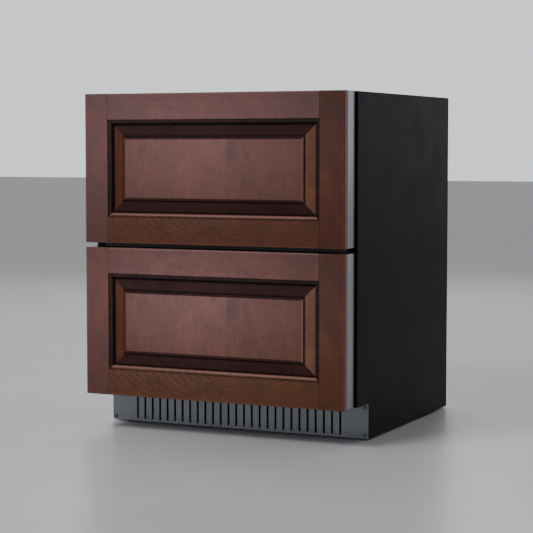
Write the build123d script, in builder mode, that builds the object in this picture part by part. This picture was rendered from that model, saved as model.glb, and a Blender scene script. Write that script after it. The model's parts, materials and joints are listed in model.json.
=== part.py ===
"""Under-counter refrigerator with two pull-out drawers and framed wood overlay panels.

Row frame: +X to the right, +Y to the back, +Z up, millimetres. The origin is on the floor, under
the middle of the whole appliance. The drawers open towards -Y.
"""

import os

from build123d import *

os.makedirs("parts", exist_ok=True)

# ---- Driving dimensions -------------------------------------------------------------------------
CABINET_WIDTH = 683.0  # outside of the steel cabinet
CABINET_DEPTH = 620.0  # front flange to rear panel
TOP_HEIGHT = 806.0  # floor to cabinet top
FLOOR_GAP = 5.0  # cabinet sides end this far above the floor
OVERHANG_HEIGHT = 87.0  # underside of the insulated box over the toe space
TOE_RECESS = 71.0  # kick plate behind the cabinet front

FRONT_WIDTH = 672.0  # drawer fronts
FRONT_HEIGHT = 354.0
WOOD_THICKNESS = 18.0
PAN_DEPTH = 40.0  # steel pan behind the wood
SEAL_GAP = 4.5  # pan to cabinet, filled by the gasket

SHEET = 1.2  # steel sheet
SHEET_BEND = 2.0  # outside radius of its folds and corners
LINER = 2.0  # plastic liner wall
WALL = 45.0  # insulated wall, outside to inside
FLOOR_WALL = 40.0  # the same in the floor
FLANGE = 24.0  # steel front flange that the gasket seals on
TOUCH = 0.1  # clearance between faces that meet on different bodies

# ---- Places that follow from them ---------------------------------------------------------------
TOTAL_DEPTH = WOOD_THICKNESS + PAN_DEPTH + SEAL_GAP + CABINET_DEPTH
WOOD_FRONT = -TOTAL_DEPTH / 2
PAN_FRONT = WOOD_FRONT + WOOD_THICKNESS
PAN_BACK = PAN_FRONT + PAN_DEPTH
CAB_FRONT = PAN_BACK + SEAL_GAP
CAB_BACK = TOTAL_DEPTH / 2
SIDE = CABINET_WIDTH / 2
SIDE_IN = SIDE - SHEET
REAR_IN = CAB_BACK - SHEET
KICK_FRONT = CAB_FRONT + TOE_RECESS
KICK_BACK = KICK_FRONT + SHEET

FRONT_GAP = TOP_HEIGHT - OVERHANG_HEIGHT - 2 * FRONT_HEIGHT
LOWER_Z = OVERHANG_HEIGHT  # bottom edge of each drawer front
UPPER_Z = LOWER_Z + FRONT_HEIGHT + FRONT_GAP
SPLIT_Z = LOWER_Z + FRONT_HEIGHT + FRONT_GAP / 2

LINER_X = SIDE - WALL  # outside of the liner
ROOM_X = LINER_X - LINER  # inside of the liner
LINER_TOP = TOP_HEIGHT - WALL
ROOM_TOP = LINER_TOP - LINER
LINER_FLOOR = OVERHANG_HEIGHT + FLOOR_WALL
ROOM_FLOOR = LINER_FLOOR + LINER
LINER_BACK = CAB_BACK - WALL
STEP_Y = 108.0  # the liner steps up over the machine room here
STEP_Z = 253.0
DECK_Y = 150.0  # machine room front wall
DECK_Z = 215.0  # machine room roof
MULLION_HALF = 20.0
MULLION_DEPTH = 62.0
TRIM = 3.0  # breaker trim thickness
FRAME_BACK = CAB_FRONT + TRIM

RAIL = 62.0  # flat width of the rails and stiles
BEAD = 10.0  # moulded edge inside it
FIELD_INSET = 102.0  # raised field, from the outer edges
COVER_Y = 236.0  # evaporator cover
PLUG_DEPTH = 14.0  # inner door liner stands into the opening
SLIDE_X = 278.0  # outside of a bin, where its runner is fixed

UPPER_ROOM = (SPLIT_Z + MULLION_HALF, ROOM_TOP)
LOWER_ROOM = (ROOM_FLOOR, SPLIT_Z - MULLION_HALF)
DRAWERS = {
    "upper": {"z": UPPER_Z, "room": UPPER_ROOM, "bin_depth": 470.0, "slide": 450.0},
    "lower": {"z": LOWER_Z, "room": LOWER_ROOM, "bin_depth": 350.0, "slide": 350.0},
}
BIN_HEIGHT = 250.0
BIN_RISE = 7.0  # over the floor or the cross bar
BIN_SHEET = 1.2
SLIDE_RISE = 34.0  # slide's centre above the bin floor
HANDS = {"left": -1, "right": 1}
LEVELS = {"bottom": -1, "top": 1}


def block(x, y, z, mode=Mode.ADD):
    """A box between three pairs of limits, added to the part being built."""
    with Locations(((x[0] + x[1]) / 2, (y[0] + y[1]) / 2, (z[0] + z[1]) / 2)):
        Box(abs(x[1] - x[0]), abs(y[1] - y[0]), abs(z[1] - z[0]), mode=mode)


def wide(half):
    """Limits that are symmetric about the centre plane."""
    return (-half, half)


def ring(half, z, width, y):
    """A rectangular ring standing in the XZ plane between two depths."""
    block(wide(half), y, z)
    block(wide(half - width), y, (z[0] + width, z[1] - width), Mode.SUBTRACT)


def save(piece, label):
    """Labels a finished piece and writes its STEP file."""
    piece.part.label = label
    export_step(piece.part, f"parts/{label}.step")


# ---- Cabinet shell ------------------------------------------------------------------------------
def cabinet_wrap():
    """One folded steel skin: both sides, the top and the flanges around the front and back."""
    rear_flange = 15.0
    skin_front = (CAB_FRONT, CAB_FRONT + SHEET)
    skin_toe = (KICK_BACK, KICK_BACK + SHEET)
    skin_rear = (REAR_IN - SHEET, REAR_IN)
    plinth_z = (FLOOR_GAP, OVERHANG_HEIGHT)
    inside_z = (OVERHANG_HEIGHT, TOP_HEIGHT - SHEET)
    mouth_z = (OVERHANG_HEIGHT, TOP_HEIGHT - FLANGE)
    with BuildPart() as wrap:
        block(wide(SIDE), (CAB_FRONT, REAR_IN), (OVERHANG_HEIGHT, TOP_HEIGHT))
        block(wide(SIDE), (KICK_BACK, REAR_IN), plinth_z)
        front = wrap.edges().group_by(Axis.Y)[0]
        fillet(front.filter_by(Axis.Z), SHEET_BEND)
        fillet(wrap.edges().filter_by(Axis.Y).group_by(Axis.Z)[-1], SHEET_BEND)
        block(wide(SIDE_IN), (skin_front[1], skin_rear[0]), inside_z, Mode.SUBTRACT)
        block(wide(SIDE_IN), (skin_toe[1], skin_rear[0]), plinth_z, Mode.SUBTRACT)
        block(wide(SIDE - FLANGE), skin_front, mouth_z, Mode.SUBTRACT)
        block(wide(SIDE - FLANGE), skin_toe, plinth_z, Mode.SUBTRACT)
        rear_z = (FLOOR_GAP, TOP_HEIGHT - rear_flange)
        block(wide(SIDE - rear_flange), skin_rear, rear_z, Mode.SUBTRACT)
        with Locations(*[Plane.XZ.offset(-KICK_BACK) * Pos(x, z) for x, z in kick_screw_places()]):
            Cylinder(KICK_SCREW_R, 4 * SHEET, mode=Mode.SUBTRACT)
    save(wrap, "cabinet_wrap")


def rear_panel():
    """Flat steel back with louvre slots over the machine room and a hole for the supply lead."""
    slot_rows, slot_pitch = 9, 17.0
    slot_length, slot_height, slot_gap = 190.0, 6.0, 30.0
    slots_z = 115.0
    lead_hole, lead_x, lead_z = 9.0, 285.0, 60.0
    with BuildPart() as panel:
        block(wide(SIDE), (REAR_IN, CAB_BACK), (FLOOR_GAP, TOP_HEIGHT))
        fillet(panel.edges().filter_by(Axis.Y), SHEET_BEND)
        with BuildSketch(Plane.XZ.offset(-CAB_BACK)):
            with Locations((0, slots_z)):
                with GridLocations(slot_length + slot_gap, slot_pitch, 2, slot_rows):
                    SlotOverall(slot_length, slot_height)
            with Locations((lead_x, lead_z)):
                Circle(lead_hole)
        extrude(amount=2 * SHEET, both=True, mode=Mode.SUBTRACT)
    save(panel, "rear_panel")


def bottom_deck():
    """Bent steel floor of the insulated box, stepping up over the machine room."""
    flange_x = SIDE - FLANGE - TOUCH
    low = OVERHANG_HEIGHT
    with BuildPart() as deck:
        block(wide(flange_x), (CAB_FRONT, CAB_FRONT + SHEET), (low, low + FLANGE))
        block(wide(SIDE_IN), (CAB_FRONT + SHEET, DECK_Y + SHEET), (low, low + SHEET))
        block(wide(SIDE_IN), (DECK_Y, DECK_Y + SHEET), (low, DECK_Z + SHEET))
        block(wide(SIDE_IN), (DECK_Y, REAR_IN - SHEET), (DECK_Z, DECK_Z + SHEET))
        chase_y = (PIPE_RISE_Y - CHASE_HALF, PIPE_RISE_Y + CHASE_HALF)
        block(PIPE_CHASE_X, chase_y, (DECK_Z, DECK_Z + SHEET), Mode.SUBTRACT)
    save(deck, "bottom_deck")


def room_outline(inset, front):
    """Side outline of the liner's room, with its step over the machine room."""
    low, high = LINER_FLOOR + inset, LINER_TOP - inset
    step_y, back = STEP_Y - inset, LINER_BACK - inset
    step_z = STEP_Z + inset
    return [(front, low), (step_y, low), (step_y, step_z), (back, step_z), (back, high), (front, high)]


def foam_insulation():
    """Rigid foam between the steel cabinet and the liner, with a chase for the pipes."""
    with BuildPart() as foam:
        outside_z = (OVERHANG_HEIGHT + SHEET, TOP_HEIGHT - SHEET)
        block(wide(SIDE_IN), (FRAME_BACK, REAR_IN - SHEET), outside_z)
        machine = (OVERHANG_HEIGHT, DECK_Z + SHEET)
        block(wide(SIDE_IN), (DECK_Y, CAB_BACK), machine, Mode.SUBTRACT)
        with BuildSketch(Plane.YZ):
            with BuildLine():
                Polyline(*room_outline(0, FRAME_BACK - 1), close=True)
            make_face()
        extrude(amount=LINER_X, both=True, mode=Mode.SUBTRACT)
        chase_z = (DECK_Z, SUCTION["z"] + 2 * PIPE_CLEAR)
        block(PIPE_CHASE_X, (LINER_BACK - 1, PIPE_RISE_Y + CHASE_HALF), chase_z, Mode.SUBTRACT)
    save(foam, "foam_insulation")


def inner_liner():
    """Moulded plastic liner, open at the front."""
    with BuildPart() as liner:
        with BuildSketch(Plane.YZ):
            with BuildLine():
                Polyline(*room_outline(0, FRAME_BACK), close=True)
            make_face()
        extrude(amount=LINER_X, both=True)
        with BuildSketch(Plane.YZ):
            with BuildLine():
                Polyline(*room_outline(LINER, FRAME_BACK - 1), close=True)
            make_face()
        extrude(amount=ROOM_X, both=True, mode=Mode.SUBTRACT)
        with Locations(*[(line["x"], LINER_BACK, line["z"]) for line in (SUCTION, LIQUID)]):
            Cylinder(PIPE_R + 1, 4 * LINER, rotation=(90, 0, 0), mode=Mode.SUBTRACT)
    save(liner, "inner_liner")


def breaker_trim():
    """Flush plastic frame between the steel flange and the liner."""
    outer_x = SIDE - FLANGE - TOUCH
    low = OVERHANG_HEIGHT + FLANGE + TOUCH
    high = TOP_HEIGHT - FLANGE - TOUCH
    with BuildPart() as trim:
        block(wide(outer_x), (CAB_FRONT, FRAME_BACK), (low, high))
        block(wide(ROOM_X), (CAB_FRONT, FRAME_BACK), (ROOM_FLOOR, ROOM_TOP), Mode.SUBTRACT)
    save(trim, "breaker_trim")


def center_mullion():
    """Insulated cross bar that both drawers seal against."""
    rear_round = 6.0
    with BuildPart() as mullion:
        z = (SPLIT_Z - MULLION_HALF, SPLIT_Z + MULLION_HALF)
        block(wide(ROOM_X), (CAB_FRONT, CAB_FRONT + MULLION_DEPTH), z)
        rear = mullion.edges().filter_by(Axis.X).group_by(Axis.Y)[-1]
        fillet(rear, rear_round)
    save(mullion, "center_mullion")


# ---- Plinth -------------------------------------------------------------------------------------
KICK_TOP = OVERHANG_HEIGHT - 1
KICK_BOTTOM = FLOOR_GAP - 1
KICK_SCREW_R = 1.9
KICK_SCREW_INSET = (9.0, 8.5)  # from the side and from the bottom or top edge
SLOTS = 27
SLOT_PITCH = 20.85
SLOT_WIDTH = 5.2
SLOT_FOOT = 5.5  # solid margin under the slots
SLOT_HEAD = 7.0


def kick_screw_places():
    """Centres of the kick plate's four screws, as (x, z)."""
    x = SIDE - KICK_SCREW_INSET[0]
    low = KICK_BOTTOM + KICK_SCREW_INSET[1]
    high = KICK_TOP - KICK_SCREW_INSET[1]
    return [(side * x, z) for side in (-1, 1) for z in (low, high)]


def kick_plate():
    """Slotted steel toe grille, the full width of the cabinet."""
    corner = 1.5
    slot_low = KICK_BOTTOM + SLOT_FOOT
    slot_high = KICK_TOP - SLOT_HEAD
    with BuildPart() as plate:
        block(wide(SIDE), (KICK_FRONT, KICK_BACK), (KICK_BOTTOM, KICK_TOP))
        fillet(plate.edges().filter_by(Axis.Y), corner)
        with BuildSketch(Plane.XZ.offset(-KICK_FRONT)):
            with Locations((0, (slot_low + slot_high) / 2)):
                with GridLocations(SLOT_PITCH, 1, SLOTS, 1):
                    SlotOverall(slot_high - slot_low, SLOT_WIDTH, rotation=90)
            with Locations(*kick_screw_places()):
                Circle(KICK_SCREW_R)
        extrude(amount=-SHEET, mode=Mode.SUBTRACT)
    save(plate, "kick_plate")


def kick_plate_screws():
    """Four pan-head screws with a cross recess."""
    head_r, head_h, head_round, shank = 4.2, 2.4, 1.2, 9.0
    recess_long, recess_wide, recess_deep = 4.0, 1.0, 1.4
    with BuildPart() as screws:
        for x, z in kick_screw_places():
            face = Plane.XZ.offset(-KICK_FRONT)
            with BuildSketch(face):
                with Locations((x, z)):
                    Circle(head_r)
            extrude(amount=head_h)
            with BuildSketch(face):
                with Locations((x, z)):
                    Circle(KICK_SCREW_R - TOUCH)
            extrude(amount=-shank)
        fillet(screws.edges().group_by(Axis.Y)[0], head_round)
        with BuildSketch(Plane.XZ.offset(-(KICK_FRONT - head_h))):
            with Locations(*kick_screw_places()):
                Rectangle(recess_long, recess_wide)
                Rectangle(recess_wide, recess_long)
        extrude(amount=-recess_deep, mode=Mode.SUBTRACT)
    save(screws, "kick_plate_screws")


FOOT_INSET = 42.0  # from the cabinet's sides and back
FOOT_SETBACK = 36.0  # behind the kick plate
FOOT_X = SIDE - FOOT_INSET
FOOT_Y = {"front": KICK_BACK + FOOT_SETBACK, "rear": CAB_BACK - FOOT_INSET}
FOOT_STUD_R = 5.0
PAN_Z = 15.0  # underside of the base pan
NUT_R = 11.0  # weld nut, across its corners
NUT_HEIGHT = 19.0


def base_pan():
    """Steel tray that closes the plinth, carries the compressor and holds the feet's nuts."""
    lip = 14.0
    front, back = KICK_BACK + SHEET + TOUCH, REAR_IN - SHEET
    foot_places = [(sign * FOOT_X, y) for y in FOOT_Y.values() for sign in HANDS.values()]
    with BuildPart() as pan:
        block(wide(SIDE_IN), (front, back), (PAN_Z, PAN_Z + lip))
        inside_y = (front + SHEET, back - SHEET)
        block(wide(SIDE_IN - SHEET), inside_y, (PAN_Z + SHEET, PAN_Z + lip), Mode.SUBTRACT)
        with BuildSketch(Plane.XY.offset(PAN_Z)):
            with Locations(*foot_places):
                RegularPolygon(NUT_R, 6)
        extrude(amount=NUT_HEIGHT)
        with BuildSketch(Plane.XY.offset(PAN_Z)):
            with Locations(*foot_places):
                Circle(FOOT_STUD_R + TOUCH)
        extrude(amount=NUT_HEIGHT, mode=Mode.SUBTRACT)
    save(pan, "base_pan")


def levelling_feet():
    """Screw-in feet: a round pad, flats for a spanner and a stud."""
    pad_r, pad_h, pad_chamfer = 18.0, 8.0, 2.0
    flats_r, flats_h, stud_top = 9.0, 5.0, 50.0
    for row, y in FOOT_Y.items():
        for hand, sign in HANDS.items():
            x = sign * FOOT_X
            with BuildPart() as foot:
                with Locations((x, y, pad_h / 2)):
                    Cylinder(pad_r, pad_h)
                chamfer(foot.edges().group_by(Axis.Z)[-1], pad_chamfer)
                with BuildSketch(Plane.XY.offset(pad_h)):
                    with Locations((x, y)):
                        RegularPolygon(flats_r, 6)
                extrude(amount=flats_h)
                with BuildSketch(Plane.XY.offset(pad_h)):
                    with Locations((x, y)):
                        Circle(FOOT_STUD_R)
                extrude(amount=stud_top - pad_h)
            save(foot, f"foot_{row}_{hand}")


# ---- Drawer fronts ------------------------------------------------------------------------------
BEAD_STEP = 2.0  # the bead starts this far behind the frame's face
BEAD_FOOT = 9.5  # where its round ends
GROOVE = (11.0, 15.0)  # front and back of the panel's groove, from the frame's face
GROOVE_DEPTH = 8.0
EDGE_ROUND = 1.2


def frame_member(label, plane, length, opening):
    """One member of a wood frame, with a moulded bead and a groove along the opening.

    The plane's origin is on the middle of the outer front edge. X runs across to the opening,
    Y into the wood and Z along the member.
    """
    outline = Plane(origin=plane.origin, x_dir=plane.z_dir, z_dir=plane.y_dir)
    tip = RAIL + BEAD
    bow = 2**-0.5
    round_middle = (RAIL + BEAD * bow, BEAD_FOOT - (BEAD_FOOT - BEAD_STEP) * bow)
    with BuildPart() as member:
        with BuildSketch(plane):
            with BuildLine():
                ThreePointArc((RAIL, BEAD_STEP), round_middle, (tip, BEAD_FOOT))
                Polyline(
                    (tip, BEAD_FOOT),
                    (tip, GROOVE[0]),
                    (tip - GROOVE_DEPTH, GROOVE[0]),
                    (tip - GROOVE_DEPTH, GROOVE[1]),
                    (tip, GROOVE[1]),
                    (tip, WOOD_THICKNESS),
                    (RAIL, WOOD_THICKNESS),
                    (RAIL, BEAD_STEP),
                )
            make_face()
        extrude(amount=opening / 2, both=True)
        with BuildSketch(outline):
            with BuildLine():
                Polyline(
                    (-opening / 2, RAIL),
                    (opening / 2, RAIL),
                    (opening / 2 - BEAD, tip),
                    (-opening / 2 + BEAD, tip),
                    close=True,
                )
            make_face()
        extrude(amount=WOOD_THICKNESS, mode=Mode.INTERSECT)
        with BuildSketch(outline):
            with Locations((0, RAIL / 2)):
                Rectangle(length, RAIL)
        extrude(amount=WOOD_THICKNESS)
        fillet(member.edges().sort_by_distance(plane.origin)[0], EDGE_ROUND)
    save(member, label)


def wood_frame(name, bottom):
    """Two full-height stiles with two rails between them."""
    middle = bottom + FRONT_HEIGHT / 2
    half_x, half_z = FRONT_WIDTH / 2, FRONT_HEIGHT / 2
    rail_length = FRONT_WIDTH - 2 * RAIL
    for hand, sign in HANDS.items():
        edge = (sign * half_x, WOOD_FRONT, middle)
        plane = Plane(origin=edge, x_dir=(-sign, 0, 0), z_dir=(0, 0, -sign))
        frame_member(f"{name}_stile_{hand}", plane, FRONT_HEIGHT, FRONT_HEIGHT - 2 * RAIL)
    for level, sign in LEVELS.items():
        edge = (0, WOOD_FRONT, middle + sign * half_z)
        plane = Plane(origin=edge, x_dir=(0, 0, -sign), z_dir=(sign, 0, 0))
        frame_member(f"{name}_rail_{level}", plane, rail_length, rail_length)


PANEL_CLEAR = 0.4  # beside the frame's beads
TONGUE_CLEAR = 0.2  # each side of the tongue in its groove
FIELD_Y = WOOD_FRONT + 4.5  # face of the raised field
SHOULDER_Y = WOOD_FRONT + 7.0  # foot of the step around it
BORDER_Y = WOOD_FRONT + GROOVE[0] + TONGUE_CLEAR  # low edge of the sloping border
PANEL_BACK = WOOD_FRONT + 16.0


def center_panel(name, bottom):
    """Raised panel: a flat field, a shoulder, a sloping border and a tongue held in the frame."""
    inset = RAIL + BEAD + PANEL_CLEAR
    half_x, half_z = FRONT_WIDTH / 2 - inset, FRONT_HEIGHT / 2 - inset
    field_x, field_z = FRONT_WIDTH / 2 - FIELD_INSET, FRONT_HEIGHT / 2 - FIELD_INSET
    tongue = GROOVE_DEPTH - 1.5
    middle = bottom + FRONT_HEIGHT / 2
    with BuildPart() as panel:
        block(wide(half_x), (BORDER_Y, PANEL_BACK), (middle - half_z, middle + half_z))
        with BuildSketch(Plane.XZ.offset(-BORDER_Y)):
            with Locations((0, middle)):
                Rectangle(2 * half_x, 2 * half_z)
        with BuildSketch(Plane.XZ.offset(-SHOULDER_Y)):
            with Locations((0, middle)):
                Rectangle(2 * field_x, 2 * field_z)
        loft()
        block(wide(field_x), (FIELD_Y, SHOULDER_Y), (middle - field_z, middle + field_z))
        tongue_z = (middle - half_z - tongue, middle + half_z + tongue)
        block(wide(half_x + tongue), (BORDER_Y, WOOD_FRONT + GROOVE[1] - TONGUE_CLEAR), tongue_z)
    save(panel, f"{name}_center_panel")


PAN_FLANGE = 14.0
PAN_FACE_ROUND = 1.0


def front_pan(name, bottom):
    """Folded steel pan behind the wood, open at the back inside a narrow flange."""
    top = bottom + FRONT_HEIGHT
    half = FRONT_WIDTH / 2
    with BuildPart() as pan:
        block(wide(half), (PAN_FRONT, PAN_BACK), (bottom, top))
        fillet(pan.edges().filter_by(Axis.Y), SHEET_BEND)
        fillet(pan.edges().group_by(Axis.Y)[0], PAN_FACE_ROUND)
        y = (PAN_FRONT + SHEET, PAN_BACK - SHEET)
        block(wide(half - SHEET), y, (bottom + SHEET, top - SHEET), Mode.SUBTRACT)
        y = (PAN_BACK - SHEET, PAN_BACK)
        block(wide(half - PAN_FLANGE), y, (bottom + PAN_FLANGE, top - PAN_FLANGE), Mode.SUBTRACT)
    save(pan, f"{name}_front_pan")


def front_liner(name, bottom, room):
    """Moulded inner skin of the drawer front, a foam-filled plug that stands into the opening."""
    clear_x, clear_z = 12.5, 5.5
    face_round = 5.0
    top = bottom + FRONT_HEIGHT
    half = FRONT_WIDTH / 2
    plug_x = ROOM_X - clear_x
    plug_z = (room[0] + clear_z, room[1] - clear_z)
    face = PAN_BACK + PLUG_DEPTH
    hollow_z = (plug_z[0] + LINER, plug_z[1] - LINER)
    with BuildPart() as skin:
        y = (PAN_BACK - SHEET, PAN_BACK)
        block(wide(half - PAN_FLANGE), y, (bottom + PAN_FLANGE, top - PAN_FLANGE))
        block(wide(plug_x), (PAN_BACK, face), plug_z)
        fillet(skin.edges().group_by(Axis.Y)[-1], face_round)
        block(wide(plug_x - LINER), (PAN_BACK - SHEET, face - LINER), hollow_z, Mode.SUBTRACT)
    save(skin, f"{name}_front_liner")

    with BuildPart() as foam:
        y = (PAN_FRONT + SHEET, PAN_BACK - SHEET)
        block(wide(half - SHEET), y, (bottom + SHEET, top - SHEET))
        block(wide(plug_x - LINER), (PAN_BACK - SHEET, face - LINER), hollow_z)
        fillet(foam.edges().group_by(Axis.Y)[-1], face_round - LINER)
    save(foam, f"{name}_front_foam")


def gasket(name, bottom):
    """Magnetic bellows seal: a base strip, a neck and a wider sealing face."""
    inset, width = 3.0, 11.0
    layers = ((0.0, 1.4, 1.0), (1.4, 2.4, 3.0), (2.4, SEAL_GAP - TOUCH, 0.0))
    half = FRONT_WIDTH / 2 - inset
    with BuildPart() as seal:
        for start, end, narrow in layers:
            z = (bottom + inset + narrow, bottom + FRONT_HEIGHT - inset - narrow)
            ring(half - narrow, z, width - 2 * narrow, (PAN_BACK + start, PAN_BACK + end))
    save(seal, f"{name}_gasket")


# ---- Bins and slides ----------------------------------------------------------------------------
def bin_tub(name, low, depth):
    """Pressed steel bin with a turned rim and air slots in its back and floor."""
    corner, bend = 10.0, 5.0
    rim, lip = 8.0, 9.0
    slot_width = 6.0
    back_slots, back_pitch, back_length = 19, 22.0, 40.0
    slot_drop = 60.0  # back slots' centres under the rim
    floor_grid, floor_pitch, floor_length = (5, 6), (100.0, 40.0), 60.0
    front = PAN_BACK + PLUG_DEPTH
    back = front + depth
    middle = (front + back) / 2
    high = low + BIN_HEIGHT
    rim_front, rim_back = front + corner, back + rim
    turned = ((0, high, Mode.ADD), (BIN_SHEET, high - BIN_SHEET, Mode.SUBTRACT))
    with BuildPart() as tub:
        block(wide(SLIDE_X), (front, back), (low, high))
        fillet(tub.edges().filter_by(Axis.Z), corner)
        fillet(tub.edges().group_by(Axis.Z)[0], bend)
        offset(amount=-BIN_SHEET, openings=tub.faces().sort_by(Axis.Z)[-1])
        for inset, top, mode in turned:
            with BuildSketch(Plane.XY.offset(high - lip)) as rim_outline:
                with Locations((0, (rim_front + rim_back) / 2)):
                    Rectangle(2 * (SLIDE_X + rim - inset), rim_back - rim_front - 2 * inset)
                fillet(rim_outline.vertices().group_by(Axis.Y)[-1], corner + rim - inset)
                with Locations((0, middle)):
                    RectangleRounded(2 * SLIDE_X, depth, corner, mode=Mode.SUBTRACT)
            extrude(amount=top - high + lip, mode=mode)
        with BuildSketch(Plane.XZ.offset(-back)):
            with Locations((0, high - slot_drop)):
                with GridLocations(back_pitch, 1, back_slots, 1):
                    SlotOverall(back_length, slot_width, rotation=90)
        extrude(amount=2 * BIN_SHEET, both=True, mode=Mode.SUBTRACT)
        with BuildSketch(Plane.XY.offset(low)):
            with Locations((0, middle)):
                with GridLocations(*floor_pitch, *floor_grid):
                    SlotOverall(floor_length, slot_width)
        extrude(amount=2 * BIN_SHEET, both=True, mode=Mode.SUBTRACT)
    save(tub, f"{name}_bin")


SLIDE_STEEL = 1.4
SLIDE_CLEAR = 2.0  # behind the drawer front's inner skin
RUNNER_HOLE_R = 2.2
RUNNER_HOLE_INSET = 30.0
SLIDE_MEMBERS = {
    "fixed": {"web": ROOM_X, "tip": ROOM_X - 11.0, "half": 22.5},
    "middle": {"web": ROOM_X - 2.9, "tip": ROOM_X - 12.7, "half": 19.4},
    "runner": {"web": SLIDE_X, "tip": ROOM_X - 6.0, "half": 16.2},
}


def channel(hand, member, z, y):
    """A C-shaped slide member: an upright web and two flanges that run along Y."""
    web, tip, half = member["web"], member["tip"], member["half"]
    inward = 1 if web > tip else -1
    block((hand * web, hand * (web - inward * SLIDE_STEEL)), y, (z - half, z + half))
    for side in LEVELS.values():
        edge = z + side * half
        block((hand * web, hand * tip), y, (edge, edge - side * SLIDE_STEEL))


def slides(name, bin_low, length):
    """Three-member telescopic slides, one each side: fixed channel, middle member and runner."""
    z = bin_low + SLIDE_RISE
    front = PAN_BACK + PLUG_DEPTH + SLIDE_CLEAR
    y = (front, front + length)
    middle = front + length / 2
    spread = length / 2 - RUNNER_HOLE_INSET
    for hand, sign in HANDS.items():
        for kind, member in SLIDE_MEMBERS.items():
            with BuildPart() as piece:
                channel(sign, member, z, y)
                if kind == "runner":
                    with Locations(*[(sign * SLIDE_X, middle + i * spread, z) for i in (-1, 0, 1)]):
                        Cylinder(RUNNER_HOLE_R, 4 * SLIDE_STEEL, rotation=(0, 90, 0), mode=Mode.SUBTRACT)
            save(piece, f"{name}_slide_{kind}_{hand}")


def drawer(name, sizes):
    """Everything that moves with one drawer, and its slides."""
    bottom = sizes["z"]
    wood_frame(name, bottom)
    center_panel(name, bottom)
    front_pan(name, bottom)
    front_liner(name, bottom, sizes["room"])
    gasket(name, bottom)
    bin_low = sizes["room"][0] + BIN_RISE
    bin_tub(name, bin_low, sizes["bin_depth"])
    slides(name, bin_low, sizes["slide"])


# ---- Cooling system -----------------------------------------------------------------------------
PIPE_R = 4.0
PIPE_CLEAR = 10.0
CHASE_HALF = 14.0
PIPE_RISE_Y = LINER_BACK + 20  # both lines rise here, behind the liner
SUCTION = {"x": -252.0, "z": 470.0}
LIQUID = {"x": -272.0, "z": 360.0}
PIPE_CHASE_X = (LIQUID["x"] - PIPE_CLEAR, SUCTION["x"] + PIPE_CLEAR)
# each fan's motor runs between two depths behind the fan's middle
EVAP_FAN = {"x": 0.0, "y": COVER_Y + 14, "z": 640.0, "r": 58.0, "motor": (14.0, 34.0)}
COND_FAN = {"x": 130.0, "y": 232.0, "z": 112.0, "r": 72.0, "motor": (16.0, 50.0)}
FAN_BLADES = 5
FAN_OPENING = 6.0  # evaporator cover's grille past the fan's radius
SHROUD_OPENING = 4.0
SHROUD_EDGE = 14.0
SHAFT_R = 3.0
SHAFT_CLEAR = 0.05
COIL_Y = 262.0
COIL_HALF_DEPTH = 20.0
EVAPORATOR_HALF = 230.0
EVAPORATOR_Z = (330, 500)
EVAPORATOR_TUBES = (360, 415, 470)
EVAPORATOR_FINS = 26
CONDENSER_HALF = 120.0
CONDENSER_X = (COND_FAN["x"] - CONDENSER_HALF, COND_FAN["x"] + CONDENSER_HALF)
CONDENSER_Y = (DECK_Y + 8, DECK_Y + 58)
CONDENSER_Z = (32, 196)
CONDENSER_TUBES = (58, 112, 166)
CONDENSER_FINS = 25
FIN = 1.0
TUBE_END = 7.0  # tubes stick out of the outer fins


def finned_coil(label, x, y, z, fins, tube_rows):
    """A fin-and-tube coil: thin upright fins with tubes running through all of them."""
    pitch = (x[1] - x[0]) / (fins - 1)
    depth = (y[0] + y[1]) / 2
    with BuildPart() as coil:
        for i in range(fins):
            centre = x[0] + i * pitch
            block((centre - FIN / 2, centre + FIN / 2), y, z)
        for height in tube_rows:
            with Locations(((x[0] + x[1]) / 2, depth, height)):
                Cylinder(PIPE_R, x[1] - x[0] + 2 * TUBE_END, rotation=(0, 90, 0))
    save(coil, label)


def axial_blades(label, fan):
    """A moulded axial fan wheel on a hub, turning about Y."""
    hub_r, hub_length = 20.0, 18.0
    blade, chord, twist = 1.8, 30.0, 32.0
    root = 6.0  # how far a blade runs into the hub
    radius = fan["r"]
    axle = Plane(origin=(fan["x"], fan["y"], fan["z"]), x_dir=(1, 0, 0), z_dir=(0, 1, 0))
    with BuildPart(axle) as wheel:
        Cylinder(hub_r, hub_length)
        with PolarLocations((hub_r - root + radius) / 2, FAN_BLADES):
            Box(radius - hub_r + root, chord, blade, rotation=(twist, 0, 0))
        Cylinder(radius, 2 * chord, mode=Mode.INTERSECT)
        Cylinder(SHAFT_R + SHAFT_CLEAR, 2 * chord, mode=Mode.SUBTRACT)
    save(wheel, label)


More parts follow.
